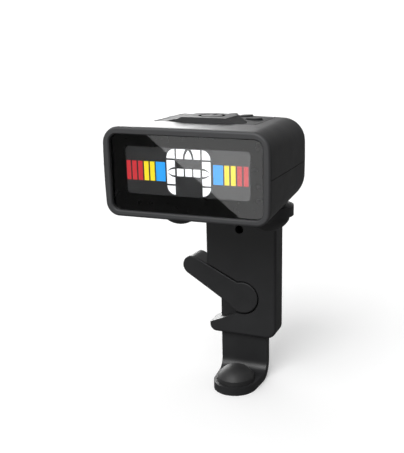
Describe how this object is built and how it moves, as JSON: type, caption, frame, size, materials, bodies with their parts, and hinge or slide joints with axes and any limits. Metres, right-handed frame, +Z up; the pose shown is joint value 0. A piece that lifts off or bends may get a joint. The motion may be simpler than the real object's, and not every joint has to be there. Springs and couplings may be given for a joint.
{
  "type": "clip-on instrument tuner",
  "caption": "Small instrument tuner: swivelling display head with top buttons on a ratchet clamp with rubber pads, a release lever and a sliding lower jaw.",
  "frame": {"origin": "midway between the tips of the two upper clamp pads, where the clamp sits on its headstock", "axes": "+X to the right as the display is read, -Y out of the display face, +Z up along the clamp"},
  "size_m": [0.0338, 0.0362, 0.0657],
  "materials": {
    "shell": "fine matte",
    "bezel": "satin",
    "panel": "fine matte",
    "buttons": "satin",
    "window": "polished",
    "mask": "gloss",
    "display": "gloss",
    "light_guide": "frosted",
    "holder": "matte",
    "connector_rubber": "matte",
    "circuit_board": "solder mask",
    "chip": "matte",
    "lamp": "clear",
    "steel": "brushed",
    "contact": "bright",
    "clamp": "fine matte",
    "slide": "satin",
    "lever": "fine matte",
    "pad": "matte",
    "washer": "waxy"
  },
  "bodies": {
    "clamp": {"clamp_frame": "clamp", "clamp_cover": "clamp", "cover_screws": "steel", "upper_pad_left": "pad", "upper_pad_right": "pad", "lever_pin": "steel", "lever_spring": "steel", "swivel_pin": "steel", "swivel_clip": "steel", "swivel_washer": "washer"},
    "head": {"shell_upper": "shell", "shell_lower": "shell", "front_bezel": "bezel", "display_window": "window", "display_mask": "mask", "lcd_panel": "display", "light_guide": "light_guide", "lcd_holder": "holder", "zebra_strip": "connector_rubber", "main_board": "circuit_board", "processor": "chip", "backlight_leds": "lamp", "contact_negative": "contact", "contact_positive": "contact", "top_panel": "panel", "key_board": "circuit_board", "key_switches": "chip", "piezo_disc": "contact", "housing_screws": "steel"},
    "drawer": {"battery_drawer": "shell", "coin_cell": "steel"},
    "power": {"power_button": "buttons"},
    "mode": {"mode_button": "buttons"},
    "pitch_up": {"pitch_up_button": "buttons"},
    "pitch_down": {"pitch_down_button": "buttons"},
    "lever": {"release_lever": "lever"},
    "jaw": {"jaw_slide": "slide", "lower_pad": "pad"}
  },
  "joints": [
    {"name": "head_swivel", "type": "hinge", "parent": "clamp", "child": "head", "pos_m": [0, 0, 0.00605], "axis": [0, 0, 1], "range_deg": [-180, 180]},
    {"name": "jaw_ratchet", "type": "slide", "parent": "clamp", "child": "jaw", "axis": [0, 0, 1], "range_m": [-0.004, 0.007]},
    {"name": "lever_release", "type": "hinge", "parent": "clamp", "child": "lever", "pos_m": [0.0003, 0.0109, -0.01995], "axis": [0, -1, 0], "range_deg": [0, 32], "stiffness_Nm_per_rad": 0.004, "springref_deg": -5.73},
    {"name": "battery_slide", "type": "slide", "parent": "head", "child": "drawer", "axis": [0, 1, 0], "range_m": [0, 0.02]},
    {"name": "power_press", "type": "slide", "parent": "head", "child": "power", "axis": [0, 0, -1], "range_m": [0, 0.0003], "stiffness_N_per_m": 800, "springref_m": -0.0001},
    {"name": "mode_press", "type": "slide", "parent": "head", "child": "mode", "axis": [0, 0, -1], "range_m": [0, 0.0003], "stiffness_N_per_m": 800, "springref_m": -0.0001},
    {"name": "pitch_up_press", "type": "slide", "parent": "head", "child": "pitch_up", "axis": [0, 0, -1], "range_m": [0, 0.0003], "stiffness_N_per_m": 800, "springref_m": -0.0001},
    {"name": "pitch_down_press", "type": "slide", "parent": "head", "child": "pitch_down", "axis": [0, 0, -1], "range_m": [0, 0.0003], "stiffness_N_per_m": 800, "springref_m": -0.0001}
  ]
}
